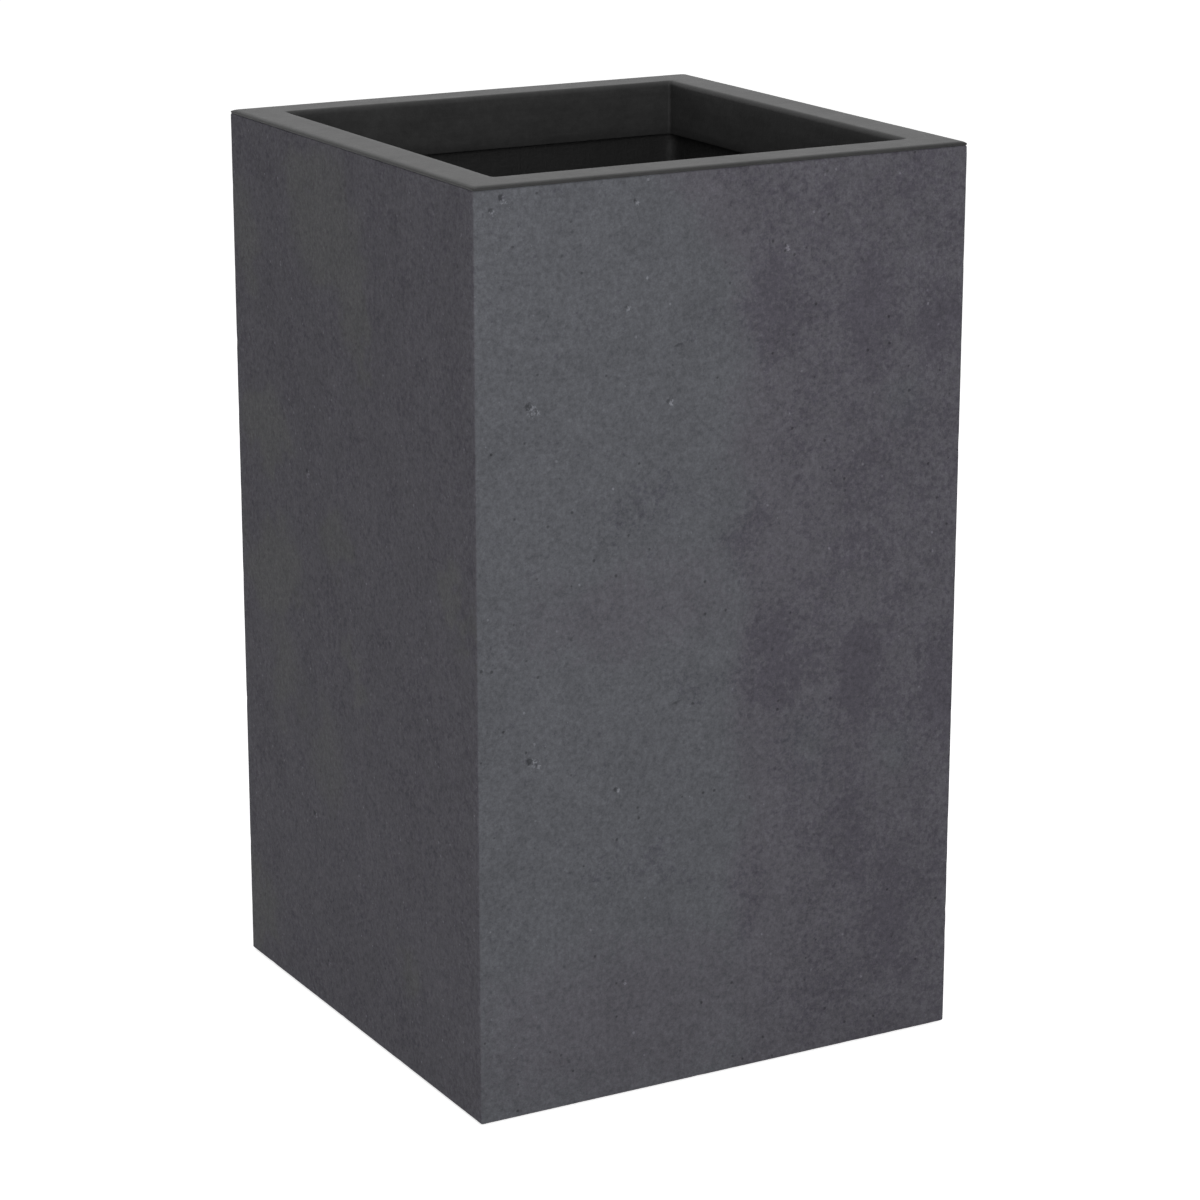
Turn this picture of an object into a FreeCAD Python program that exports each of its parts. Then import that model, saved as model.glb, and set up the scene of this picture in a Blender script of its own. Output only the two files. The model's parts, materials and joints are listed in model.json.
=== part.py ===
import FreeCAD, Part
import math
import os

# Tall square fibreglass planter: a double-skinned, foam-cored body with a base pan, a rim collar,
# a plugged drain and four feet.
# Millimetres, +Z up. The origin is on the floor, at the centre of the footprint.
# The front is the -Y side.

# Driving dimensions
WIDTH = 400.0                    # outside width and depth of the square plan
HEIGHT = 680.0                   # floor to rim top
EDGE_RADIUS = 2.0                # upright outer edges

OUTER_SKIN = 4.0                 # laminate of the outer shell and the base pan
CORE = 17.0                      # foam between the skins
INNER_SKIN = 3.0                 # laminate of the inner shell
CAVITY_CORNER_RADIUS = 8.0       # upright corners of the planting cavity
INSIDE_CORNER_RADIUS = 1.0       # inside of the outer shell's upright corners

RIM_WIDTH = 34.0                 # top of the rim, outer face to opening
RIM_SKIN = 3.0                   # laminate of the rim collar
LIP_DEPTH = 42.0                 # rim top to the lip's lower edge
LIP_CORNER_RADIUS = 4.0          # upright corners of the opening
RIM_ROLL_RADIUS = 4.0            # rolled edge from the rim top into the lip
RIM_EDGE_RADIUS = 2.0            # outer top edge of the rim
LIP_CHAMFER = 0.8                # lower edge of the lip, both sides
JOINT_CHAMFER = 0.8              # each side of the fine joint line under the rim

FOOT_CLEARANCE = 2.0             # gap between the floor and the standing ring
RECESS_DEPTH = 14.0              # standing ring to the recessed underside
RECESS_DRAFT_DEG = 8.0           # draft of the recess sides
RECESS_CORNER_RADIUS = 18.0      # upright corners of the recess
RECESS_CHAMFER = 4.0             # recess sides into the recessed underside
BASE_CHAMFER = 0.8               # outer edge of the standing ring

FLOOR_CORE = 23.0                # foam under the level middle of the planting floor
FLOOR_FALL = 4.0                 # the planting floor drops this much towards the drain
FALL_CENTRE_WIDTH = 80.0         # level square around the drain
DIMPLE_RADIUS = 24.0             # seat for the bush flange
DIMPLE_DEPTH = 2.5

DRAIN_BORE_RADIUS = 12.0
BUSH_WALL = 3.0
BUSH_FLANGE_RADIUS = 23.0
BUSH_GLUE_GAP = 0.25             # bonding gap around the bush
BUSH_DRIP = 2.0                  # the bush ends this far below the recessed underside
BUSH_ENTRY_CHAMFER = 1.0

PLUG_CLEARANCE = 0.07            # radial, sealing ribs to bore
PLUG_SHANK_RADIUS = 11.3
PLUG_SHANK_LENGTH = 26.0
PLUG_NOSE_RADIUS = 9.0
PLUG_NOSE_LENGTH = 4.0
PLUG_RIB_COUNT = 2
PLUG_RIB_PITCH = 9.0
PLUG_RIB_HEIGHT = 2.4
PLUG_HEAD_RADIUS = 19.0
PLUG_HEAD_HEIGHT = 4.0
PLUG_NECK_RADIUS = 5.0
PLUG_GRIP_RADIUS = 9.0
PLUG_GRIP_THICKNESS = 6.0
PLUG_GRIP_HEIGHT = 18.0          # head underside to the grip's top
PLUG_BEVEL = 1.5                 # top edges of head and grip

FOOT_WIDTH = 34.0                # where it is bonded to the base pan
FOOT_TREAD_WIDTH = 30.0
FOOT_CORNER_RADIUS = 5.0
FOOT_BEVEL = 1.0                 # edge of the tread
FOOT_INSET = 52.0                # outer face to the foot's middle

# Derived levels and widths
RING_Z = FOOT_CLEARANCE
RECESS_Z = RING_Z + RECESS_DEPTH
PLATEAU_Z = RECESS_Z + OUTER_SKIN
RIM_SEAT_Z = HEIGHT - RIM_SKIN
LIP_Z = HEIGHT - LIP_DEPTH
CORE_IN = OUTER_SKIN                        # outer face to the core's outer face
INNER_IN = OUTER_SKIN + CORE                # outer face to the inner shell's outer face
CAVITY_IN = INNER_IN + INNER_SKIN           # outer face to the planting cavity
RECESS_IN = INNER_IN + OUTER_SKIN           # outer face to the recess's edge
FLOOR_UNDER_Z = PLATEAU_Z + FLOOR_CORE      # underside of the inner laminate, level part
FLOOR_LOW_Z = FLOOR_UNDER_Z + INNER_SKIN
FLOOR_HIGH_Z = FLOOR_LOW_Z + FLOOR_FALL
DIMPLE_Z = FLOOR_LOW_Z - DIMPLE_DEPTH
BUSH_RADIUS = DRAIN_BORE_RADIUS + BUSH_WALL
DRAIN_HOLE_RADIUS = BUSH_RADIUS + BUSH_GLUE_GAP
BUSH_FOOT_Z = RECESS_Z - BUSH_DRIP
OVERRUN = 1.0                               # how far a cutting tool runs past a face
TOUCH = 1e-6                                # tolerance for picking edges
UP = FreeCAD.Vector(0, 0, 1)


def vec(x, y, z):
    return FreeCAD.Vector(x, y, z)


def square_block(inset, z_low, z_high, corner_radius=0.0):
    """A block of the planter's plan, drawn in by inset, with rounded upright edges."""
    side = WIDTH - 2 * inset
    block = Part.makeBox(side, side, z_high - z_low, vec(-side / 2, -side / 2, z_low))
    if corner_radius > 0:
        block = block.makeFillet(corner_radius, upright_edges(block))
    return block


def upright_edges(shape):
    """Every edge that climbs, which on a block are its four corners."""
    return [edge for edge in shape.Edges if edge.BoundBox.ZLength > TOUCH]


def edges_at(shape, z, inset_low=0.0, inset_high=WIDTH / 2):
    """The edges that lie at one level, between two insets from the planter's outline."""
    found = []
    for edge in shape.Edges:
        box = edge.BoundBox
        reach = max(abs(box.XMin), abs(box.XMax), abs(box.YMin), abs(box.YMax))
        inset = WIDTH / 2 - reach
        level = abs(box.ZMin - z) < TOUCH and abs(box.ZMax - z) < TOUCH
        if level and inset_low - TOUCH <= inset <= inset_high + TOUCH:
            found.append(edge)
    return found


def cylinder(radius, z_low, z_high):
    return Part.makeCylinder(radius, z_high - z_low, vec(0, 0, z_low), UP)


def revolve(half_profile):
    """A solid turned about Z from (radius, z) points."""
    points = [vec(radius, 0, z) for radius, z in half_profile]
    face = Part.Face(Part.makePolygon(points + points[:1]))
    return face.revolve(vec(0, 0, 0), UP, 360)


def frustum(low_side, high_side, z_low, z_high):
    """A square block whose four sides lean evenly from one width to another."""
    low = low_side / 2
    high = high_side / 2
    wedge = Part.makeWedge(-low, z_low, -low, -high, -high, low, z_high, low, high, high)
    wedge.rotate(vec(0, 0, 0), vec(1, 0, 0), 90)
    return wedge


def base_pocket(grow, z_low, z_high):
    """The drafted recess of the underside, or the same form grown by a laminate."""
    sides = []
    for z in (z_low, z_high):
        drawn_in = (z - RING_Z) * math.tan(math.radians(RECESS_DRAFT_DEG))
        sides.append(WIDTH - 2 * (RECESS_IN + drawn_in - grow))
    pocket = frustum(sides[0], sides[1], z_low, z_high)
    return pocket.makeFillet(RECESS_CORNER_RADIUS + grow, upright_edges(pocket))


def above_falling_floor(low_z):
    """All the space above a floor that falls from four sides to a level square round the drain."""
    run = WIDTH / 2 - CAVITY_IN - FALL_CENTRE_WIDTH / 2
    rise = FLOOR_FALL * (WIDTH - FALL_CENTRE_WIDTH) / 2 / run
    funnel = frustum(FALL_CENTRE_WIDTH, WIDTH, low_z, low_z + rise)
    return funnel.fuse(square_block(0, low_z + rise, HEIGHT)).removeSplitter()


def inside_of_shell(z_low, z_high):
    return square_block(OUTER_SKIN, z_low, z_high, INSIDE_CORNER_RADIUS)


def outer_shell():
    """Outer laminate: the four walls, in one moulding."""
    body = square_block(0, RING_Z, RIM_SEAT_Z, EDGE_RADIUS)
    body = body.makeChamfer(BASE_CHAMFER, edges_at(body, RING_Z))
    body = body.makeChamfer(JOINT_CHAMFER, edges_at(body, RIM_SEAT_Z))
    return body.cut(inside_of_shell(RING_Z - OVERRUN, RIM_SEAT_Z + OVERRUN))


def base_pan():
    """Bottom laminate, bonded inside the walls: a standing ring and a recessed floor with a hole."""
    body = inside_of_shell(RING_Z, PLATEAU_Z)
    above_ring = inside_of_shell(RING_Z + OUTER_SKIN, PLATEAU_Z + OVERRUN)
    body = body.cut(above_ring.cut(base_pocket(OUTER_SKIN, RING_Z, PLATEAU_Z)))
    recess = base_pocket(0, RING_Z - OVERRUN, RECESS_Z)
    recess = recess.makeChamfer(RECESS_CHAMFER, edges_at(recess, RECESS_Z))
    return body.cut(recess).cut(cylinder(DRAIN_HOLE_RADIUS, 0, PLATEAU_Z + OVERRUN))


def inner_shell():
    """Inner laminate: four walls and a planting floor that falls to a dimple round the drain."""
    block = square_block(INNER_IN, PLATEAU_Z, RIM_SEAT_Z, CAVITY_CORNER_RADIUS + INNER_SKIN)
    boss = cylinder(DIMPLE_RADIUS + INNER_SKIN, DIMPLE_Z - INNER_SKIN, FLOOR_LOW_Z)
    body = block.common(above_falling_floor(FLOOR_UNDER_Z)).fuse(boss)
    cavity = square_block(CAVITY_IN, PLATEAU_Z, RIM_SEAT_Z + OVERRUN, CAVITY_CORNER_RADIUS)
    cavity = cavity.common(above_falling_floor(FLOOR_LOW_Z))
    dimple = cylinder(DIMPLE_RADIUS, DIMPLE_Z, FLOOR_LOW_Z + OVERRUN)
    hole = cylinder(DRAIN_HOLE_RADIUS, PLATEAU_Z, HEIGHT)
    return body.cut(cavity).cut(dimple).cut(hole).removeSplitter()


def rim_collar():
    """Rim moulding: a flat flange, a rolled inner edge and a lip that hangs in the opening."""
    ring = square_block(0, LIP_Z, HEIGHT, EDGE_RADIUS)
    ring = ring.cut(square_block(RIM_WIDTH, LIP_Z - OVERRUN, HEIGHT + OVERRUN, LIP_CORNER_RADIUS))
    ring = ring.makeFillet(RIM_ROLL_RADIUS, edges_at(ring, HEIGHT, RIM_WIDTH))
    ring = ring.makeFillet(RIM_EDGE_RADIUS, edges_at(ring, HEIGHT, 0, EDGE_RADIUS))
    collar = ring.cut(space_behind_lip())
    collar = collar.makeChamfer(LIP_CHAMFER, edges_at(collar, LIP_Z))
    return collar.makeChamfer(JOINT_CHAMFER, edges_at(collar, RIM_SEAT_Z, 0, EDGE_RADIUS))


def space_behind_lip():
    """The undercut under the flange, between the lip and the outside."""
    lip_back = RIM_WIDTH - RIM_SKIN
    lip_block = square_block(lip_back, LIP_Z - 2 * OVERRUN, HEIGHT, LIP_CORNER_RADIUS + RIM_SKIN)
    return square_block(-OVERRUN, LIP_Z - OVERRUN, RIM_SEAT_Z).cut(lip_block)


def wall_core(quarter_turns):
    """One foam wall panel. Front and back run the full width, left and right fit between them."""
    runs_full_width = quarter_turns % 2 == 0
    long_side = WIDTH - 2 * (CORE_IN if runs_full_width else INNER_IN)
    low_z = RING_Z + OUTER_SKIN
    corner = vec(-long_side / 2, -WIDTH / 2 + CORE_IN, low_z)
    panel = Part.makeBox(long_side, CORE, RIM_SEAT_Z - low_z, corner)
    if runs_full_width:
        outer_edges = [e for e in upright_edges(panel) if e.BoundBox.YMax < corner.y + TOUCH]
        panel = panel.makeFillet(INSIDE_CORNER_RADIUS, outer_edges)
    panel.rotate(vec(0, 0, 0), UP, 90 * quarter_turns)
    return panel


def floor_core():
    """Foam board under the planting floor, shaped to its fall and to the drain."""
    board = square_block(INNER_IN, PLATEAU_Z, HEIGHT).cut(above_falling_floor(FLOOR_UNDER_Z))
    boss = cylinder(DIMPLE_RADIUS + INNER_SKIN, DIMPLE_Z - INNER_SKIN, HEIGHT)
    hole = cylinder(DRAIN_HOLE_RADIUS, 0, HEIGHT)
    return board.cut(boss).cut(hole)


def drain_bush():
    """Flanged sleeve that lines the drain through both floors. Its flange fills the dimple."""
    return revolve([
        (DRAIN_BORE_RADIUS, BUSH_FOOT_Z),
        (BUSH_RADIUS, BUSH_FOOT_Z),
        (BUSH_RADIUS, DIMPLE_Z),
        (BUSH_FLANGE_RADIUS, DIMPLE_Z),
        (BUSH_FLANGE_RADIUS, FLOOR_LOW_Z),
        (DRAIN_BORE_RADIUS + BUSH_ENTRY_CHAMFER, FLOOR_LOW_Z),
        (DRAIN_BORE_RADIUS, FLOOR_LOW_Z - BUSH_ENTRY_CHAMFER),
    ])


def drain_plug():
    """Rubber plug: a ribbed shank, a head that rests on the bush and a waisted grip."""
    seat_z = FLOOR_LOW_Z
    tip_z = seat_z - PLUG_SHANK_LENGTH
    profile = [(0, tip_z), (PLUG_NOSE_RADIUS, tip_z), (PLUG_SHANK_RADIUS, tip_z + PLUG_NOSE_LENGTH)]
    for index in range(PLUG_RIB_COUNT):
        rib_z = tip_z + PLUG_NOSE_LENGTH + PLUG_RIB_PITCH * (index + 0.5)
        profile.append((PLUG_SHANK_RADIUS, rib_z - PLUG_RIB_HEIGHT / 2))
        profile.append((DRAIN_BORE_RADIUS - PLUG_CLEARANCE, rib_z))
        profile.append((PLUG_SHANK_RADIUS, rib_z + PLUG_RIB_HEIGHT / 2))
    head_z = seat_z + PLUG_HEAD_HEIGHT
    grip_z = seat_z + PLUG_GRIP_HEIGHT
    return revolve(profile + [
        (PLUG_SHANK_RADIUS, seat_z),
        (PLUG_HEAD_RADIUS, seat_z),
        (PLUG_HEAD_RADIUS, head_z - PLUG_BEVEL),
        (PLUG_HEAD_RADIUS - PLUG_BEVEL, head_z),
        (PLUG_NECK_RADIUS, head_z),
        (PLUG_NECK_RADIUS, grip_z - PLUG_GRIP_THICKNESS),
        (PLUG_GRIP_RADIUS, grip_z - PLUG_GRIP_THICKNESS + PLUG_BEVEL),
        (PLUG_GRIP_RADIUS, grip_z - PLUG_BEVEL),
        (PLUG_GRIP_RADIUS - PLUG_BEVEL, grip_z),
        (0, grip_z),
    ])


def foot_pad(x_sign, y_sign):
    """Tapered rubber block that stands in a corner of the recess and carries the planter."""
    pad = frustum(FOOT_TREAD_WIDTH, FOOT_WIDTH, 0, RECESS_Z)
    pad = pad.makeFillet(FOOT_CORNER_RADIUS, upright_edges(pad))
    pad = pad.makeChamfer(FOOT_BEVEL, edges_at(pad, 0))
    reach = WIDTH / 2 - FOOT_INSET
    pad.translate(vec(x_sign * reach, y_sign * reach, 0))
    return pad


def build():
    nodes = {
        "outer_shell": outer_shell(),
        "base_pan": base_pan(),
        "inner_shell": inner_shell(),
        "rim_collar": rim_collar(),
        "floor_core": floor_core(),
        "drain_bush": drain_bush(),
        "drain_plug": drain_plug(),
    }
    for quarter_turns, side in enumerate(["front", "right", "back", "left"]):
        nodes["wall_core_" + side] = wall_core(quarter_turns)
    for y_name, y_sign in (("front", -1), ("back", 1)):
        for x_name, x_sign in (("left", -1), ("right", 1)):
            nodes["foot_pad_" + y_name + "_" + x_name] = foot_pad(x_sign, y_sign)
    return nodes


def main():
    os.makedirs("parts", exist_ok=True)
    for name, shape in build().items():
        print(name, "valid:", shape.isValid(), "solids:", len(shape.Solids), "mm3:", round(shape.Volume))
        shape.exportStep("parts/" + name + ".step")


main()
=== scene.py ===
import json
import math
import random

import bmesh
import bpy
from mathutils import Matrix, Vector, noise

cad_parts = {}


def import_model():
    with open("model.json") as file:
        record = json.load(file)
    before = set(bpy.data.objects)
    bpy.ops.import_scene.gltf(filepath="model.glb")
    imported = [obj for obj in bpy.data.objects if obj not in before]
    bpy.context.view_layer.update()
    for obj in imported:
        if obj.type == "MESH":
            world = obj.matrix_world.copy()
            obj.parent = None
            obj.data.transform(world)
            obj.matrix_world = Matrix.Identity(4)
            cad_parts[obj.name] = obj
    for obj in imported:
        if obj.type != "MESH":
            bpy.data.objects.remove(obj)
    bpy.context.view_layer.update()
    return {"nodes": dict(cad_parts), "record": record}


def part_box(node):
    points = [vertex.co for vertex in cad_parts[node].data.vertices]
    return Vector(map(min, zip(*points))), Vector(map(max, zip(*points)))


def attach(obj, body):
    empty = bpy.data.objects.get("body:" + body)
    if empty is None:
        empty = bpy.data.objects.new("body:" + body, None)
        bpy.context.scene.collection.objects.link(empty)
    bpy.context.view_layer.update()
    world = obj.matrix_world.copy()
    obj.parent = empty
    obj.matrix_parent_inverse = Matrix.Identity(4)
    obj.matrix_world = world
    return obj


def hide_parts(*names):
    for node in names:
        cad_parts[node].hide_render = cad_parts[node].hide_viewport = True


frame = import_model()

# Dresses the tall square planter. Metres, +Z up, the front is the -Y side.
# The walls, the rim and the inner shell are made again as finer meshes with the coat's relief in
# them, inside their CAD solids. The other pieces keep their CAD meshes and get their materials here.

nodes = frame["nodes"]
MM = 0.001

# Sizes read from the frame
walls_low, walls_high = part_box("outer_shell")
rim_low, rim_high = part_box("rim_collar")
liner_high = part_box("inner_shell")[1]
core_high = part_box("wall_core_front")[1]
bush_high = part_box("drain_bush")[1]
HALF = walls_high.x                             # half the planter's width
TOP = rim_high.z
SEAT = walls_high.z                             # where the rim sits on the walls
LIP_Z = rim_low.z
SKIN = HALF - core_high.x                       # thickness of the outer laminate
LINER_IN = HALF - liner_high.x                  # outer face to the inner shell's outer face

# Details that the boxes don't give
EDGE_RADIUS = 2 * MM
EDGE_CHAMFER = 0.8 * MM
SKIN_CORNER = 1 * MM
RIM_WIDTH = 34 * MM
RIM_SKIN = 3 * MM
ROLL_RADIUS = 4 * MM
LIP_CORNER = 4 * MM
LINER_SKIN = 3 * MM
CAVITY_CORNER = 8 * MM
FLOOR_FALL = 4 * MM
FALL_CENTRE = 40 * MM                           # half of the level square round the drain
DIMPLE_RADIUS = 24 * MM
DRAIN_HOLE_RADIUS = 15.25 * MM
ARC_STEPS = 6


# ---------------------------------------------------------------- meshes swept round the plan

class Plan:
    """Columns round the planter. Each is a place on a side, or on the turn of a corner."""

    def __init__(self, columns_per_side):
        self.columns = []
        for side in range(4):
            for step in range(columns_per_side + 1):
                self.columns.append((side, -1 + 2 * step / columns_per_side, 0.0))
            for step in range(1, ARC_STEPS):
                self.columns.append((side, 1.0, step / ARC_STEPS))

    @staticmethod
    def turned(x, y, side):
        """A point of the front side, taken round to side 0 front, 1 right, 2 back or 3 left."""
        for _ in range(side):
            x, y = -y, x
        return x, y

    def ring(self, half, corner):
        """Points of a rounded square, one per column."""
        points = []
        for side, along, turn in self.columns:
            angle = math.radians(90) * turn
            x = along * (half - corner) + corner * math.sin(angle)
            y = -(half - corner) - corner * math.cos(angle)
            points.append(self.turned(x, y, side))
        return points

    def circle(self, radius):
        """Points of a circle, in the directions of the columns of a square ring."""
        points = []
        for x, y in self.ring(1.0, 0.05):
            reach = math.hypot(x, y)
            points.append((x / reach * radius, y / reach * radius))
        return points


def swept(name, rings, levels):
    """A closed mesh from rings of plan points at their levels. The last ring joins the first."""
    mesh = bpy.data.meshes.new(name)
    count = len(rings[0])
    points = [(x, y, z) for ring, z in zip(rings, levels) for x, y in ring]
    faces = []
    for row in range(len(rings)):
        here = row * count
        there = (row + 1) % len(rings) * count
        for column in range(count):
            after = (column + 1) % count
            faces.append((here + column, here + after, there + after, there + column))
    mesh.from_pydata(points, [], faces)
    mesh.validate()
    made = bpy.data.objects.new(name, mesh)
    bpy.context.scene.collection.objects.link(made)
    return made


def settle(piece, node, slot, sharp_angle=35):
    """Shades a piece smooth apart from its corners, and puts it in the place of its CAD node."""
    edit = bmesh.new()
    edit.from_mesh(piece.data)
    bmesh.ops.recalc_face_normals(edit, faces=edit.faces)
    edit.to_mesh(piece.data)
    edit.free()
    for face in piece.data.polygons:
        face.use_smooth = True
    piece.data.set_sharp_from_angle(angle=math.radians(sharp_angle))
    piece.data.materials.append(materials[slot])
    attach(piece, "planter")
    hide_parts(node)


def lumps(place, size, seed=0.0):
    """Smooth noise from -1 to 1, with lumps of about the given size."""
    return noise.noise(place / size + Vector((seed, seed * 0.7, -seed)))


# ---------------------------------------------------------------- places on the photographed sides

SIDE_FRONT, SIDE_RIGHT, SIDE_BACK, SIDE_LEFT = range(4)


def side_of(place):
    """Which side a point of the walls is on, and how far it is along it and down it, in mm."""
    x, y = place.x, place.y
    drop = (TOP - place.z) / MM
    if -y >= abs(x):
        return SIDE_FRONT, (x + HALF) / MM, drop
    if x >= abs(y):
        return SIDE_RIGHT, (y + HALF) / MM, drop
    if y >= abs(x):
        return SIDE_BACK, (HALF - x) / MM, drop
    return SIDE_LEFT, (HALF - y) / MM, drop


def on_side(side, along, drop):
    """The point of the walls at so many mm along a side and down it."""
    x, y = Plan.turned(along * MM - HALF, -HALF, side)
    return Vector((x, y, TOP - drop * MM))


# Pits and short cracks that the photograph shows: side, mm along, mm down, radius, depth
SEEN_PITS = [
    (SIDE_FRONT, 21, 9, 2.2, 0.7), (SIDE_FRONT, 13, 17, 1.8, 0.6), (SIDE_FRONT, 41, 155, 2.8, 1.0),
    (SIDE_FRONT, 47, 158, 1.6, 0.6), (SIDE_FRONT, 152, 163, 1.5, 0.6), (SIDE_FRONT, 247, 62, 1.4, 0.6),
    (SIDE_FRONT, 118, 93, 1.4, 0.5), (SIDE_FRONT, 41, 410, 2.8, 1.0), (SIDE_FRONT, 46, 414, 1.6, 0.6),
    (SIDE_FRONT, 110, 442, 1.6, 0.6), (SIDE_FRONT, 117, 590, 1.4, 0.5), (SIDE_FRONT, 125, 20, 1.5, 0.6),
    (SIDE_LEFT, 125, 255, 2.0, 0.7), (SIDE_LEFT, 126, 525, 2.0, 0.7), (SIDE_LEFT, 145, 640, 1.6, 0.6),
]
SEEN_CRACKS = [(SIDE_FRONT, 160, 124, 12, -12), (SIDE_FRONT, 160, 385, 12, -12),
               (SIDE_LEFT, 128, 500, 9, 80), (SIDE_LEFT, 205, 300, 8, 80)]
CRACK_WIDTH = 1.6
CRACK_DEPTH = 0.7
HIDDEN_PIT_COUNT = 26
SMALL_PIT_COUNT = 70
# Painted highlights beside the photographed pits: pale spots that stand in for light glinting on the pits'
# rims
GLINT_REACH = 3.2                               # in radii of the pit
GLINT_ALONG = 1.3                               # how far beside the pit the painted glints lie, in radii
GLINT_BELOW = 0.9


class Marks:
    """The pits and cracks of the walls, as places in metres."""

    def __init__(self):
        rng = random.Random(4)
        self.pits = []
        for side, along, drop, radius, depth in SEEN_PITS:
            self.pits.append((on_side(side, along, drop), radius * MM, depth * MM))
        for _ in range(HIDDEN_PIT_COUNT):
            side = rng.choice((SIDE_RIGHT, SIDE_BACK))
            place = on_side(side, rng.uniform(12, 388), rng.uniform(12, 665))
            radius = rng.uniform(1.3, 2.8)
            self.pits.append((place, radius * MM, 0.36 * radius * MM))
        for _ in range(SMALL_PIT_COUNT):
            place = on_side(rng.randrange(4), rng.uniform(8, 392), rng.uniform(8, 670))
            self.pits.append((place, rng.uniform(0.9, 1.5) * MM, rng.uniform(0.25, 0.5) * MM))
        self.cracks = []
        for side, along, drop, length, angle in SEEN_CRACKS:
            lean = math.radians(angle)
            reach_along = length / 2 * math.cos(lean)
            reach_drop = length / 2 * math.sin(lean)
            start = on_side(side, along - reach_along, drop - reach_drop)
            end = on_side(side, along + reach_along, drop + reach_drop)
            self.cracks.append((start, end))

    def depth_at(self, place):
        """How far the marks sink the wall there, kept inside the skin."""
        sunk = 0.0
        for centre, radius, depth in self.pits:
            reach = (place - centre).length / radius
            if reach < 2.4:
                reach *= 1 + 0.6 * lumps(place, 1.7 * MM, 11.0)
                sunk = max(sunk, depth * max(0.0, 1 - reach * reach / 1.3))
        for start, end in self.cracks:
            run = end - start
            share = max(0.0, min(1.0, (place - start).dot(run) / run.length_squared))
            wander = 0.5 * MM * math.sin(9 * share)
            away = (place - start - run * share).length + abs(wander) * 0.3
            width = CRACK_WIDTH * MM * (1 - 0.7 * abs(2 * share - 1))
            if away < width:
                sunk = max(sunk, CRACK_DEPTH * MM * (1 - away / width))
        return sunk

    def painted_glint_at(self, place):
        """How strong the painted highlight is there, 0 to 1: pale spots painted below and beside the
        photographed pits, where light would glint on their rims.
        """
        found = 0.0
        for centre, radius, _ in self.pits[:len(SEEN_PITS)]:
            along_side = Vector((0.0, 0.0, 1.0)).cross(centre - Vector((0.0, 0.0, centre.z)))
            glint_centre = centre + along_side.normalized() * radius * GLINT_ALONG
            glint_centre.z -= radius * GLINT_BELOW
            found = max(found, 1 - (place - glint_centre).length / (GLINT_REACH * radius))
        return found

    def near(self, place, margin):
        for centre, radius, _ in self.pits:
            if (place - centre).length < radius + margin:
                return True
        for start, end in self.cracks:
            if (place - (start + end) / 2).length < (end - start).length / 2 + margin:
                return True
        return False


# ---------------------------------------------------------------- stone-coated walls

WALL_COLUMNS = 64
WALL_ROWS = 112
WAVE_DEPTH = 0.22 * MM
GRIT_DEPTH = 0.10 * MM
CHIP_DEPTH = 0.7 * MM
CHIP_REACH = 4 * MM
FULL_SHADE_DEPTH = 0.45 * MM                            # marks at least so deep get the full painted shade


def wall_relief(place, marks):
    """How far the coat lies under the CAD face: gentle waves, grit, chipped edges and marks."""
    sunk = WAVE_DEPTH * (0.5 + 0.5 * lumps(place, 0.13))
    sunk += GRIT_DEPTH * (0.5 + 0.5 * lumps(place, 9 * MM, 3.0))
    reach = sorted((abs(place.x), abs(place.y)))
    from_edge = min(HALF - reach[0], place.z - walls_low.z, SEAT - place.z)
    if from_edge < CHIP_REACH:
        chipped = max(0.0, lumps(place, 11 * MM, 7.0) - 0.2) / 0.8
        sunk += CHIP_DEPTH * chipped * (1 - max(0.0, from_edge) / CHIP_REACH)
    return sunk + marks.depth_at(place)


def outward_at(place):
    """The way the outer face of the walls looks at a point of it."""
    flat = HALF - EDGE_RADIUS
    x = place.x - max(-flat, min(flat, place.x))
    y = place.y - max(-flat, min(flat, place.y))
    return Vector((x, y, 0.0)).normalized()


def spot(along, drop, centre_along, centre_drop, half_width, half_height):
    """1 in the middle of an oval, falling to 0 at its rim."""
    away = ((along - centre_along) / half_width) ** 2 + ((drop - centre_drop) / half_height) ** 2
    return max(0.0, 1 - away)


def strongest(along, drop, spots):
    """The strongest of several ovals at a point. Each is place, half sizes and strength."""
    found = 0.0
    for centre_along, centre_drop, half_width, half_height, strength in spots:
        found = max(found, strength * spot(along, drop, centre_along, centre_drop,
                                           half_width, half_height))
    return found


# Cloudy places that the photograph shows, as ovals in mm: along, down, half width, half height, strength
FRONT_STAINS = [
    (242, 100, 38, 62, 0.85), (243, 362, 38, 60, 0.85), (318, 120, 36, 80, 1.0),
    (318, 385, 36, 76, 1.0), (345, 580, 52, 82, 0.8), (310, 255, 24, 95, 0.7),
    (310, 500, 24, 70, 0.7), (380, 130, 28, 60, 0.9), (380, 400, 28, 62, 0.9),
    (350, 25, 62, 40, 0.6), (222, 270, 26, 50, 0.55), (222, 540, 26, 50, 0.5),
    (390, 560, 20, 90, 0.55), (285, 225, 52, 32, 0.5), (130, 235, 60, 30, 0.4),
    (130, 500, 60, 30, 0.4), (180, 110, 34, 20, 0.4), (180, 372, 34, 20, 0.4),
]
FRONT_PURPLE_BANDS = [(120, 310, 130, 48, 0.7), (130, 620, 190, 95, 0.8)]
FRONT_SLATE_PATCHES = [(350, 182, 28, 26, 0.6), (347, 446, 28, 26, 0.6), (270, 430, 30, 45, 0.6)]
LEFT_CLOUDS = [
    (165, 60, 68, 68, 0.9), (215, 112, 30, 60, 0.8), (50, 235, 55, 38, 0.9), (60, 345, 70, 52, 1.0),
    (175, 300, 34, 34, 0.7), (370, 300, 28, 34, 0.8), (75, 430, 42, 62, 0.6), (150, 470, 45, 60, 0.5),
    (20, 640, 50, 44, 0.9), (285, 600, 24, 30, 0.6), (20, 90, 28, 55, 0.6), (205, 400, 16, 40, 0.6),
]


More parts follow.
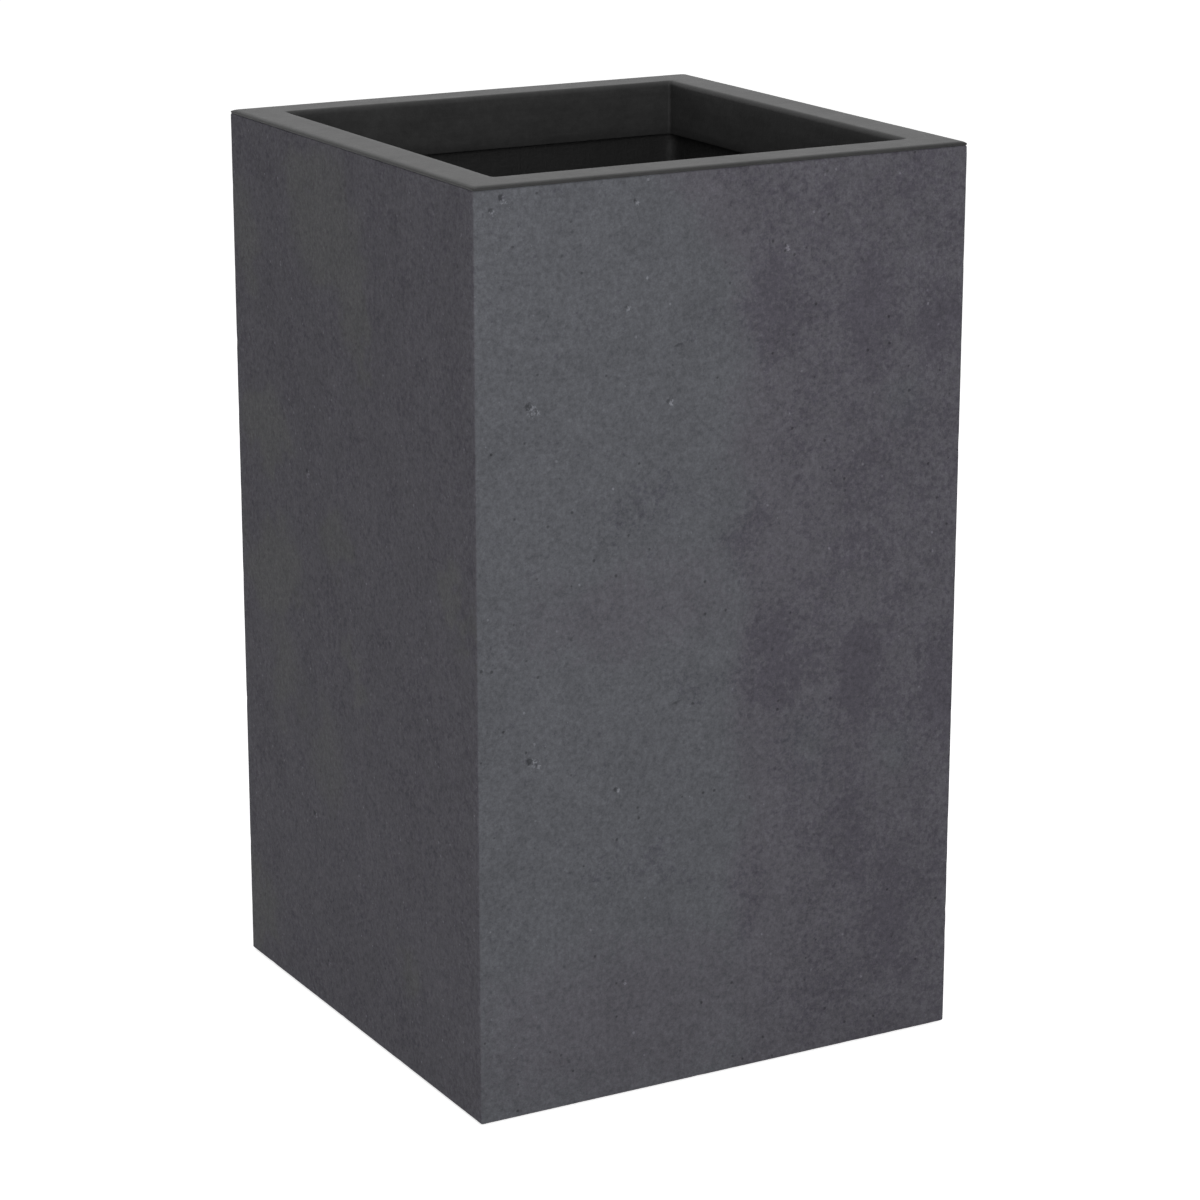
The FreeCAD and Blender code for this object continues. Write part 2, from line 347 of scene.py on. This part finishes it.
LEFT_STAIN = 0.3                                # between the pale clouds
LEFT_SLATE = 0.12
LEFT_CLOUD_GAIN = 1.4
LEFT_RAGGED_GAIN = 1.3
SLATE_END = 212                                 # mm along the front, where purple-grey takes over
SLATE_END_LEAN = 65                             # and how much sooner it does at the very top
SLATE_END_LEAN_DROP = 75
SLATE_END_WIDTH = 44
RIGHT_HALF_STAIN = 0.42                         # thin stain all over the front's purple half
RIGHT_HALF_REACH = 60


def coat_paint(place):
    """The coat's painted clouds at a point: how stained, how slate and how pale it is, each 0 to 1."""
    side, along, drop = side_of(place)
    ragged = 20 * lumps(place, 0.035, 5.0) + 13 * lumps(place, 0.014, 9.0) + 8 * lumps(place, 0.007, 2.0)
    if side == SIDE_FRONT:
        stain = strongest(along + ragged * 0.7, drop + ragged, FRONT_STAINS)
        bound = SLATE_END - SLATE_END_LEAN * max(0.0, 1 - drop / SLATE_END_LEAN_DROP)
        purple = max(0.0, min(1.0, (along + ragged * 0.7 - bound) / SLATE_END_WIDTH + 0.5))
        purple = max(purple, strongest(along, drop + ragged, FRONT_PURPLE_BANDS))
        slate = 1 - purple + strongest(along, drop + ragged, FRONT_SLATE_PATCHES)
        thin = min(1.0, max(0.0, (along + ragged - bound) / RIGHT_HALF_REACH))
        stain = max(stain, RIGHT_HALF_STAIN * thin)
        return stain, min(1.0, slate), 0.0
    if side == SIDE_LEFT:
        pale = strongest(along + LEFT_RAGGED_GAIN * ragged, drop + LEFT_RAGGED_GAIN * ragged,
                         LEFT_CLOUDS)
        return LEFT_STAIN * (1 - pale), LEFT_SLATE, min(1.0, LEFT_CLOUD_GAIN * pale)
    tall = Vector((place.x, place.y, place.z * 0.55))
    stain = max(0.0, lumps(tall, 0.09, 2.0) + 0.4 * lumps(tall, 0.035, 4.0) - 0.1) * 1.6
    slate = 0.5 + 1.2 * lumps(tall, 0.20, 6.0)
    pale = max(0.0, lumps(place, 0.12, 8.0)) * 1.2
    return min(1.0, stain), max(0.0, min(1.0, slate)), min(1.0, pale)


def refine_near(edit, marks):
    """Cuts the wall mesh finer round the pits and cracks, so that they have form."""
    for margin in (7 * MM, 3.5 * MM, 1.8 * MM):
        chosen = set()
        for face in edit.faces:
            middle = face.calc_center_median()
            if max(abs(middle.x), abs(middle.y)) < HALF - EDGE_RADIUS:
                continue
            if marks.near(middle, margin):
                chosen.update(face.edges)
        bmesh.ops.subdivide_edges(edit, edges=list(chosen), cuts=1, use_grid_fill=True)


def stone_walls():
    plan = Plan(WALL_COLUMNS)
    rings, levels = [], []
    rings.append(plan.ring(HALF - EDGE_CHAMFER, EDGE_RADIUS - EDGE_CHAMFER))
    levels.append(walls_low.z)
    straight_low = walls_low.z + EDGE_CHAMFER
    straight_high = SEAT - EDGE_CHAMFER
    for row in range(WALL_ROWS + 1):
        rings.append(plan.ring(HALF, EDGE_RADIUS))
        levels.append(straight_low + (straight_high - straight_low) * row / WALL_ROWS)
    rings.append(plan.ring(HALF - EDGE_CHAMFER, EDGE_RADIUS - EDGE_CHAMFER))
    levels.append(SEAT)
    for level in (SEAT, walls_low.z):
        rings.append(plan.ring(HALF - SKIN, SKIN_CORNER))
        levels.append(level)
    piece = swept("stone_walls", rings, levels)
    marks = Marks()
    edit = bmesh.new()
    edit.from_mesh(piece.data)
    refine_near(edit, marks)
    for vertex in edit.verts:
        if max(abs(vertex.co.x), abs(vertex.co.y)) > HALF - EDGE_RADIUS:
            vertex.co -= outward_at(vertex.co) * wall_relief(vertex.co, marks)
    edit.to_mesh(piece.data)
    edit.free()
    paint_attributes(piece.data, marks)
    settle(piece, "outer_shell", "stone_coat")


def paint_attributes(mesh, marks):
    """Keeps the painted clouds, the painted shade of the pits and cracks and the painted highlights beside
    the pits on the mesh's points, for the material to read.
    """
    values = []
    for vertex in mesh.vertices:
        painted_hollow_shade = min(1.0, marks.depth_at(vertex.co) / FULL_SHADE_DEPTH)
        values.append((*coat_paint(vertex.co), painted_hollow_shade, marks.painted_glint_at(vertex.co)))
    for index, name in enumerate(("stain", "slate", "pale", "painted_hollow_shade", "painted_glint")):
        attribute = mesh.attributes.new(name, "FLOAT", "POINT")
        attribute.data.foreach_set("value", [value[index] for value in values])


# ---------------------------------------------------------------- rim collar

RIM_COLUMNS = 72
RIM_STEPS = 10                                  # rows across the flat top
ROLL_STEPS = 6
LIP_STEPS = 6
EDGE_ROUND_IN = 4.5 * MM                        # the flange's outer edge is eased further across
EDGE_ROUND_DOWN = 1.7 * MM                      # than down
TOP_CORNER = 4.5 * MM                           # the flange's upright corners, at its top
LIP_INNER_CORNER = 1.2 * MM
RIM_WAVE = 0.30 * MM
EDGE_WAVE = 0.5 * MM
LIP_WAVE = 0.9 * MM


def rim():
    """A smooth flange, a rolled inner edge and a lip, a little uneven as hand-finished ones are."""
    plan = Plan(RIM_COLUMNS)
    lip_back = RIM_WIDTH - RIM_SKIN
    profile = []                                # inset from the outer face, corner radius, level
    profile.append((EDGE_CHAMFER, EDGE_RADIUS - EDGE_CHAMFER, SEAT))
    profile.append((0.0, EDGE_RADIUS, SEAT + EDGE_CHAMFER))
    for step in range(ARC_STEPS + 1):
        angle = math.radians(90) * step / ARC_STEPS
        inset = EDGE_ROUND_IN * (1 - math.cos(angle))
        level = TOP - EDGE_ROUND_DOWN * (1 - math.sin(angle))
        corner = EDGE_RADIUS + (TOP_CORNER - EDGE_RADIUS) * math.sin(angle)
        profile.append((inset, corner, level))
    flat_end = RIM_WIDTH - ROLL_RADIUS
    for step in range(1, RIM_STEPS):
        share = step / RIM_STEPS
        inset = EDGE_ROUND_IN + (flat_end - EDGE_ROUND_IN) * share
        profile.append((inset, LIP_CORNER, TOP))
    for step in range(ROLL_STEPS + 1):
        angle = math.radians(90) * step / ROLL_STEPS
        inset = flat_end + ROLL_RADIUS * math.sin(angle)
        level = TOP - ROLL_RADIUS * (1 - math.cos(angle))
        corner = LIP_CORNER + (LIP_INNER_CORNER - LIP_CORNER) * step / ROLL_STEPS
        profile.append((inset, corner, level))
    lip_top = TOP - ROLL_RADIUS
    lip_bottom = LIP_Z + EDGE_CHAMFER
    for step in range(1, LIP_STEPS + 1):
        level = lip_top + (lip_bottom - lip_top) * step / LIP_STEPS
        profile.append((RIM_WIDTH, LIP_INNER_CORNER, level))
    profile.append((RIM_WIDTH - EDGE_CHAMFER, LIP_INNER_CORNER + EDGE_CHAMFER, LIP_Z))
    profile.append((lip_back + EDGE_CHAMFER, LIP_CORNER + RIM_SKIN - EDGE_CHAMFER, LIP_Z))
    profile.append((lip_back, LIP_CORNER + RIM_SKIN, lip_bottom))
    profile.append((lip_back, LIP_CORNER + RIM_SKIN, SEAT))
    rings = [plan.ring(HALF - inset, corner) for inset, corner, _ in profile]
    piece = swept("rim", rings, [level for _, _, level in profile])
    for vertex in piece.data.vertices:
        vertex.co = uneven_rim(vertex.co)
    settle(piece, "rim_collar", "rim_coat", 50)


def uneven_rim(place):
    """The rim's top, outer edge and lip sway a little, always into the CAD solid."""
    inset = HALF - max(abs(place.x), abs(place.y))
    sway = 0.5 + 0.35 * lumps(place, 0.07, 1.0) + 0.15 * lumps(place, 0.02, 2.0)
    moved = place.copy()
    if place.z > SEAT:
        moved.z -= RIM_WAVE * sway * min(1.0, (place.z - SEAT) / (2 * MM))
    if place.z > SEAT and inset < 2 * EDGE_ROUND_IN:
        share = 1 - inset / (2 * EDGE_ROUND_IN)
        edge_sway = 0.5 + 0.3 * lumps(place, 0.045, 6.0) + 0.2 * lumps(place, 0.012, 7.0)
        moved += inward_face(place) * EDGE_WAVE * edge_sway * share
    if inset > RIM_WIDTH - ROLL_RADIUS and place.z > LIP_Z:
        push = LIP_WAVE * sway * (inset - RIM_WIDTH + ROLL_RADIUS) / ROLL_RADIUS
        moved -= inward_face(place) * push
    return moved


def inward_face(place):
    """Unit vector towards the opening, for a point of the lip."""
    if abs(place.x) > abs(place.y):
        return Vector((-math.copysign(1.0, place.x), 0.0, 0.0))
    return Vector((0.0, -math.copysign(1.0, place.y), 0.0))


# ---------------------------------------------------------------- inner shell

LINER_COLUMNS = 48
LINER_ROWS = 70
FLOOR_RINGS = 16
LAMINATE_DEPTH = 0.5 * MM


def liner():
    """The rough inner laminate: planting walls, and a floor that falls to the drain's dimple."""
    plan = Plan(LINER_COLUMNS)
    floor_low = bush_high.z
    floor_high = floor_low + FLOOR_FALL
    dimple = floor_low - (bush_high.z - flange_underside("drain_bush"))
    cavity = HALF - LINER_IN - LINER_SKIN
    rings, levels = [], []

    def put(ring, level):
        rings.append(ring)
        levels.append(level)

    put(plan.circle(DRAIN_HOLE_RADIUS), dimple)
    put(plan.circle(DIMPLE_RADIUS), dimple)
    put(plan.circle(DIMPLE_RADIUS), floor_low)
    put(plan.ring(FALL_CENTRE, 8 * MM), floor_low)
    for step in range(1, FLOOR_RINGS + 1):
        share = step / FLOOR_RINGS
        put(plan.ring(FALL_CENTRE + (cavity - FALL_CENTRE) * share, CAVITY_CORNER),
            floor_low + (floor_high - floor_low) * share)
    for row in range(1, LINER_ROWS + 1):
        put(plan.ring(cavity, CAVITY_CORNER), floor_high + (SEAT - floor_high) * row / LINER_ROWS)
    outer_half = HALF - LINER_IN
    put(plan.ring(outer_half, CAVITY_CORNER + LINER_SKIN), SEAT)
    put(plan.ring(outer_half, CAVITY_CORNER + LINER_SKIN), floor_high - LINER_SKIN)
    put(plan.ring(FALL_CENTRE, 8 * MM), floor_low - LINER_SKIN)
    put(plan.circle(DIMPLE_RADIUS + LINER_SKIN), floor_low - LINER_SKIN)
    put(plan.circle(DIMPLE_RADIUS + LINER_SKIN), dimple - LINER_SKIN)
    put(plan.circle(DRAIN_HOLE_RADIUS), dimple - LINER_SKIN)
    piece = swept("liner", rings, levels)
    for vertex in piece.data.vertices:
        vertex.co = rough_laminate(vertex.co, cavity, floor_low)
    settle(piece, "inner_shell", "inner_laminate")


def flange_underside(name):
    """The level of the flat under a flanged sleeve's flange, read from its CAD mesh."""
    low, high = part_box(name)
    widest = high.x
    level = high.z
    for vertex in nodes[name].data.vertices:
        if math.hypot(vertex.co.x, vertex.co.y) > 0.99 * widest:
            level = min(level, vertex.co.z)
    return level


def rough_laminate(place, cavity, floor_low):
    """Sinks the visible inner faces a little into the laminate, as lay-up leaves them."""
    sunk = LAMINATE_DEPTH * (0.5 + 0.3 * lumps(place, 0.011) + 0.2 * lumps(place, 0.04, 3.0))
    reach = max(abs(place.x), abs(place.y))
    moved = place.copy()
    if abs(reach - cavity) < 1e-6 and place.z > floor_low + FLOOR_FALL:
        moved -= inward_face(place) * sunk
    elif DIMPLE_RADIUS * 1.05 < math.hypot(place.x, place.y) and place.z >= floor_low - 1e-6 \
            and reach < cavity:
        moved.z -= sunk
    return moved


# ---------------------------------------------------------------- materials

class Graph:
    """A material's node tree, put together call by call. Sockets are joined by passing them in."""

    def __init__(self, name):
        self.material = bpy.data.materials.new(name)
        self.material.use_nodes = True
        self.tree = self.material.node_tree
        self.tree.nodes.clear()

    def node(self, kind, inputs=(), **settings):
        made = self.tree.nodes.new("ShaderNode" + kind)
        for name, value in settings.items():
            setattr(made, name, value)
        for key, value in dict(inputs).items():
            if isinstance(value, bpy.types.NodeSocket):
                self.tree.links.new(value, made.inputs[key])
            else:
                made.inputs[key].default_value = value
        return made

    def math(self, operation, a, b=0.0, clamp=False):
        return self.node("Math", {0: a, 1: b}, operation=operation, use_clamp=clamp).outputs[0]

    def add(self, a, b):
        return self.math("ADD", a, b)

    def times(self, a, b):
        return self.math("MULTIPLY", a, b)

    def place(self, squeeze=(1.0, 1.0, 1.0), shift=(0.0, 0.0, 0.0)):
        """Object coordinates, which are metres in the planter's own frame."""
        coordinates = self.node("TexCoord").outputs["Object"]
        inputs = {"Vector": coordinates, "Scale": squeeze, "Location": shift}
        return self.node("Mapping", inputs).outputs[0]

    def painted(self, name):
        """A number kept on the mesh's points."""
        return self.node("Attribute", attribute_name=name).outputs["Fac"]

    def noise(self, place, size, detail=2.0, roughness=0.5):
        """Noise from 0 to 1 whose lumps are about the given size in metres."""
        made = self.node("TexNoise", {"Vector": place, "Scale": 1.0 / size, "Detail": detail,
                                      "Roughness": roughness})
        return made.outputs["Fac"]

    def cells(self, place, size):
        """Distance to the nearest of many scattered points, in cell sizes, and a colour per cell."""
        made = self.node("TexVoronoi", {"Vector": place, "Scale": 1.0 / size})
        return made.outputs["Distance"], made.outputs["Color"]

    def ramp(self, value, low, high, out_low=0.0, out_high=1.0, smooth=True):
        """Value from low to high becomes out_low to out_high, clamped."""
        made = self.node("MapRange", {"Value": value, "From Min": low, "From Max": high,
                                      "To Min": out_low, "To Max": out_high},
                         interpolation_type="SMOOTHSTEP" if smooth else "LINEAR")
        return made.outputs["Result"]

    def mix(self, factor, a, b):
        return self.node("Mix", {0: factor, 6: a, 7: b}, data_type="RGBA").outputs[2]

    def scattered(self, place, spacing, share, radius):
        """1 on small dots of up to the given radius, in that share of cells so far apart."""
        distance, cell = self.cells(place, spacing)
        channels = self.node("SeparateColor", {0: cell}).outputs
        wide = self.ramp(channels[1], 0.0, 1.0, 0.5 * radius / spacing, radius / spacing, smooth=False)
        dot = self.math("SUBTRACT", 1.0, self.math("DIVIDE", distance, wide), clamp=True)
        return self.times(self.math("LESS_THAN", channels[0], share), self.ramp(dot, 0.0, 0.5))

    def scale_colour(self, colour, factor):
        """A colour times a number."""
        if not isinstance(colour, bpy.types.NodeSocket):
            colour = colour[:3]
        return self.node("VectorMath", {0: colour, "Scale": factor}, operation="SCALE").outputs[0]

    def tinted(self, colour, tint):
        """A colour times a colour."""
        inputs = {0: 1.0, 6: colour, 7: tint}
        return self.node("Mix", inputs, data_type="RGBA", blend_type="MULTIPLY").outputs[2]

    def spread(self, value, span):
        """Noise from 0 to 1 becomes a shade from 1 - span to 1 + span."""
        return self.ramp(value, 0.25, 0.75, 1 - span, 1 + span, smooth=False)

    def bump(self, height, depth, normal=None):
        inputs = {"Height": height, "Distance": depth, "Strength": 1.0}
        if normal is not None:
            inputs["Normal"] = normal
        return self.node("Bump", inputs).outputs[0]

    def surface(self, colour, roughness, normal, **numbers):
        inputs = {"Base Color": colour, "Roughness": roughness, "Normal": normal}
        inputs.update({key.replace("_", " "): value for key, value in numbers.items()})
        shader = self.node("BsdfPrincipled", inputs).outputs[0]
        output = self.node("OutputMaterial")
        self.tree.links.new(shader, output.inputs["Surface"])
        return self.material


def grey(value, tint=(1.0, 1.0, 1.0)):
    return (value * tint[0], value * tint[1], value * tint[2], 1.0)


SLATE = (0.0895, 0.0921, 0.1020, 1.0)
PURPLE_GREY = (0.0876, 0.0850, 0.0972, 1.0)
PALE_NEUTRAL = (0.0935, 0.0930, 0.0975, 1.0)
STAIN_TINT = (0.790, 0.768, 0.812, 1.0)         # what a fully stained place keeps of its colour
CLOUD_SPAN = 0.21                               # how far soft clouds lighten and darken the coat
GRAIN_SPAN = 0.32                               # and how far its grain does
PIN_SHADE = 0.55
PIT_SHADE = 0.50                                # painted shade: what the bottom of a pit or crack keeps of its colour
FLECK_SHINE = 1.6
# painted highlight: how far the pale spots beside the pits brighten the coat
GLINT_BRIGHTNESS = 1.9
CLOUD_SIZE = 60 * MM
STIPPLE_SIZE = 5 * MM
GRAIN_SIZE = 3 * MM
BROKEN_SIZE = 26 * MM
GLINT_SPECK_SIZE = 1.8 * MM
GRIT_SIZE = 1.9 * MM
GRIT_HEIGHT = 0.30 * MM
DOT_SPACING = 9 * MM                            # of the pinholes and of the flecks
COAT_SPECULAR = 0.08


def stone_coat():
    """Matte gritty coat: slate and purple-grey clouds, stippled stains, grain, pinholes, flecks, with
    painted shade in the pinholes, pits and cracks and painted highlights beside the pits; the flecks are
    partly painted glints.
    """
    g = Graph("stone_coat")
    place = g.place()
    clouds = g.noise(place, CLOUD_SIZE, 7.0, 1.0)
    stipple = g.noise(place, STIPPLE_SIZE, 3.0, 0.75)
    grain = g.noise(place, GRAIN_SIZE, 3.0, 0.8)
    ragged = g.times(g.add(stipple, -0.5), 1.6)
    colour = g.mix(g.ramp(g.add(g.painted("slate"), ragged), 0.1, 0.9), PURPLE_GREY, SLATE)
    pale = g.ramp(g.add(g.painted("pale"), ragged), 0.15, 0.85)
    colour = g.mix(pale, colour, PALE_NEUTRAL)
    broken = g.times(g.add(g.noise(place, BROKEN_SIZE, 5.0, 0.85), -0.5), 2.6)
    density = g.add(g.times(g.painted("stain"), 1.25), broken)
    speck = g.add(g.times(stipple, 3.6), g.add(density, -2.12))
    stained = g.ramp(speck, 0.0, 0.62)
    colour = g.tinted(colour, g.mix(stained, grey(1.0), STAIN_TINT))
    shade = g.times(g.spread(clouds, CLOUD_SPAN), g.spread(grain, GRAIN_SPAN))
    pins = g.scattered(place, DOT_SPACING, 0.16, 1.6 * MM)
    # Pale flecks, partly the coat's mineral grit and partly painted highlights that stand in for glints of
    # light on it
    flecks = g.scattered(g.place(shift=(0.3, 0.2, 0.1)), DOT_SPACING, 0.20, 1.5 * MM)
    flecks = g.times(flecks, g.ramp(g.painted("pale"), 0.0, 0.4, 1.0, 0.25))
    # Painted shade in the pinholes, and below it in the pits and cracks, darkest where they are deepest.
    shade = g.times(shade, g.ramp(pins, 0.0, 1.0, 1.0, PIN_SHADE, smooth=False))
    shade = g.times(shade, g.ramp(flecks, 0.0, 1.0, 1.0, FLECK_SHINE, smooth=False))
    shade = g.times(shade, g.ramp(g.painted("painted_hollow_shade"), 0.0, 1.0, 1.0, PIT_SHADE, smooth=False))
    # Painted highlight: pale spots beside the pits, where light would glint on their rims.
    painted_glint = g.add(g.times(g.painted("painted_glint"), 0.55), g.noise(place, GLINT_SPECK_SIZE, 2.0, 0.6))
    painted_glint = g.times(g.ramp(painted_glint, 0.78, 0.95), g.ramp(g.painted("painted_glint"), 0.0, 0.3))
    shade = g.times(shade, g.ramp(painted_glint, 0.0, 1.0, 1.0, GLINT_BRIGHTNESS, smooth=False))
    grit = g.add(g.noise(place, GRIT_SIZE, 3.0, 0.6), g.times(g.math("SUBTRACT", flecks, pins), 1.2))
    rough = g.ramp(stipple, 0.3, 0.7, 0.66, 0.82, smooth=False)
    return g.surface(g.scale_colour(colour, shade), rough, g.bump(grit, GRIT_HEIGHT),
                     Specular_IOR_Level=COAT_SPECULAR)


RIM_GREY = 0.0325
RIM_SHADE_SPAN = 0.20
RIM_GRAIN_HEIGHT = 0.13 * MM
RIM_SPECULAR = 0.12


def rim_coat():
    """Smooth satin charcoal coat, with the faint lengthwise streaks of hand finishing."""
    g = Graph("rim_coat")
    place = g.place()
    brushed = g.add(g.noise(g.place((0.10, 1.0, 1.0)), 5 * MM, 3.0, 0.6),
                    g.noise(g.place((1.0, 0.10, 1.0)), 5 * MM, 3.0, 0.6))
    clouds = g.noise(place, 40 * MM, 6.0, 0.9)
    shade = g.times(g.spread(clouds, RIM_SHADE_SPAN), g.spread(g.times(brushed, 0.5), RIM_SHADE_SPAN))
    uneven = g.add(g.times(brushed, 0.4), g.noise(place, 2.1 * MM, 3.0, 0.7))
    rough = g.add(g.ramp(clouds, 0.3, 0.7, 0.32, 0.42, smooth=False), g.times(brushed, 0.04))
    return g.surface(g.scale_colour(grey(RIM_GREY), shade), rough, g.bump(uneven, RIM_GRAIN_HEIGHT),
                     Specular_IOR_Level=RIM_SPECULAR)


def laminate(name, value):
    """Dark resin over chopped strands, which show as short raised streaks."""
    g = Graph(name)
    place = g.place()
    strands = g.noise(g.place((1.0, 1.0, 0.25)), 2.5 * MM, 3.0, 0.6)
    crossing = g.noise(g.place((0.3, 0.3, 1.0)), 2.5 * MM, 3.0, 0.6)
    lay = g.math("MAXIMUM", strands, crossing)
    shade = g.ramp(g.add(g.times(lay, 0.6), g.times(g.noise(place, 0.05, 4.0), 0.4)), 0.3, 0.75, 0.7, 1.35)
    normal = g.bump(lay, 0.5 * MM)
    rough = g.ramp(lay, 0.35, 0.75, 0.75, 0.50, smooth=False)
    return g.surface(g.scale_colour(grey(value), shade), rough, normal, Specular_IOR_Level=0.3)


def foam():
    """Rigid foam board with fine cells."""
    g = Graph("foam")
    place = g.place()
    distance, _ = g.cells(place, 1.2 * MM)
    shade = g.ramp(distance, 0.1, 0.6, 0.88, 1.05)
    return g.surface(g.scale_colour((0.62, 0.55, 0.36, 1.0), shade), 0.9, g.bump(distance, 0.3 * MM))


def moulded(name, value, roughness, grain_size, depth, specular):
    """Black plastic or rubber with a fine moulded grain and dusty wear."""
    g = Graph(name)
    place = g.place()
    grain = g.noise(place, grain_size, 3.0, 0.6)
    dust = g.ramp(g.noise(place, 12 * MM, 4.0, 0.7), 0.45, 0.75, 1.0, 1.6)
    rough = g.ramp(grain, 0.3, 0.7, roughness - 0.06, roughness + 0.06, smooth=False)
    return g.surface(g.scale_colour(grey(value), dust), rough, g.bump(grain, depth),
                     Specular_IOR_Level=specular)


materials = {
    "stone_coat": stone_coat(),
    "rim_coat": rim_coat(),
    "inner_laminate": laminate("inner_laminate", 0.012),
    "base_laminate": laminate("base_laminate", 0.035),
    "foam": foam(),
    "bush_plastic": moulded("bush_plastic", 0.030, 0.42, 0.6 * MM, 0.03 * MM, 0.5),
    "plug_rubber": moulded("plug_rubber", 0.022, 0.75, 1.2 * MM, 0.06 * MM, 0.3),
    "foot_rubber": moulded("foot_rubber", 0.022, 0.80, 1.5 * MM, 0.08 * MM, 0.3),
}
for subpart in frame["record"]["subparts"]:
    part = nodes[subpart["node"]]
    part.data.materials.clear()
    part.data.materials.append(materials[subpart["material_slot"]])


# ---------------------------------------------------------------- camera, floor and light

def link(name, data, place=(0.0, 0.0, 0.0)):
    made = bpy.data.objects.new(name, data)
    made.location = place
    bpy.context.scene.collection.objects.link(made)
    return made


def camera():
    """Where the corners and edges of the photograph put it."""
    data = bpy.data.cameras.new("camera")
    data.lens = 111.08
    data.sensor_width = 36.0
    data.clip_end = 100.0
    made = link("camera", data, (-1.3227, -2.3748, 1.0991))
    made.rotation_euler = [math.radians(a) for a in (73.918, -0.026, -29.283)]
    bpy.context.scene.camera = made


FLOOR_REACH = 40.0
FLOOR_GREY = 0.85
FLOOR_GLOW = 0.74                               # what the floor adds for whoever looks at it
SKY = 0.368                                     # what the world gives all but what looks at it
KEY_PLACE = Vector((-0.75, -2.05, 1.20))
KEY_AIM = Vector((0.0, 0.0, 0.34))
KEY_SIZE = 0.9
KEY_POWER = 26.5
TOP_PLACE = Vector((0.0, 0.3, 3.0))
TOP_AIM = Vector((0.0, 0.0, 0.68))
TOP_SIZE = 1.6
TOP_POWER = 19.0


def floor():
    """White to the eye all the way back, with the object's shadow, and plain pale to the light."""
    g = Graph("floor")
    path = g.node("LightPath").outputs
    seen = g.math("MAXIMUM", path["Is Camera Ray"], path["Is Glossy Ray"])
    seen = g.math("MAXIMUM", seen, path["Is Transmission Ray"])
    glow = g.node("Emission", {"Color": grey(1.0), "Strength": g.times(seen, FLOOR_GLOW)}).outputs[0]
    matte = g.node("BsdfDiffuse", {"Color": grey(FLOOR_GREY)}).outputs[0]
    both = g.node("AddShader", {0: matte, 1: glow}).outputs[0]
    g.tree.links.new(both, g.node("OutputMaterial").inputs["Surface"])
    mesh = bpy.data.meshes.new("floor")
    reach = FLOOR_REACH
    corners = [(-reach, -reach, 0), (reach, -reach, 0), (reach, reach, 0), (-reach, reach, 0)]
    mesh.from_pydata(corners, [], [(0, 1, 2, 3)])
    mesh.materials.append(g.material)
    link("floor", mesh)


def world():
    """An even studio: white behind the object, softer as light."""
    made = bpy.data.worlds.new("studio")
    made.use_nodes = True
    tree = made.node_tree
    tree.nodes.clear()
    path = tree.nodes.new("ShaderNodeLightPath")
    seen = tree.nodes.new("ShaderNodeMath")
    seen.operation = "MAXIMUM"
    tree.links.new(path.outputs["Is Camera Ray"], seen.inputs[0])
    tree.links.new(path.outputs["Is Glossy Ray"], seen.inputs[1])
    through = tree.nodes.new("ShaderNodeMath")
    through.operation = "MAXIMUM"
    tree.links.new(seen.outputs[0], through.inputs[0])
    tree.links.new(path.outputs["Is Transmission Ray"], through.inputs[1])
    level = tree.nodes.new("ShaderNodeMapRange")
    level.inputs["To Min"].default_value = SKY
    level.inputs["To Max"].default_value = 1.0
    tree.links.new(through.outputs[0], level.inputs["Value"])
    background = tree.nodes.new("ShaderNodeBackground")
    background.inputs["Color"].default_value = grey(1.0)
    tree.links.new(level.outputs[0], background.inputs["Strength"])
    output = tree.nodes.new("ShaderNodeOutputWorld")
    tree.links.new(background.outputs[0], output.inputs["Surface"])
    bpy.context.scene.world = made


def softbox(name, place, aim, size, power):
    data = bpy.data.lights.new(name, "AREA")
    data.energy = power
    data.size = size
    made = link(name, data, place)
    made.rotation_euler = (aim - place).to_track_quat("-Z", "Y").to_euler()


stone_walls()
rim()
liner()
camera()
floor()
world()
softbox("key", KEY_PLACE, KEY_AIM, KEY_SIZE, KEY_POWER)
softbox("top", TOP_PLACE, TOP_AIM, TOP_SIZE, TOP_POWER)
bpy.context.scene.view_settings.view_transform = "Standard"
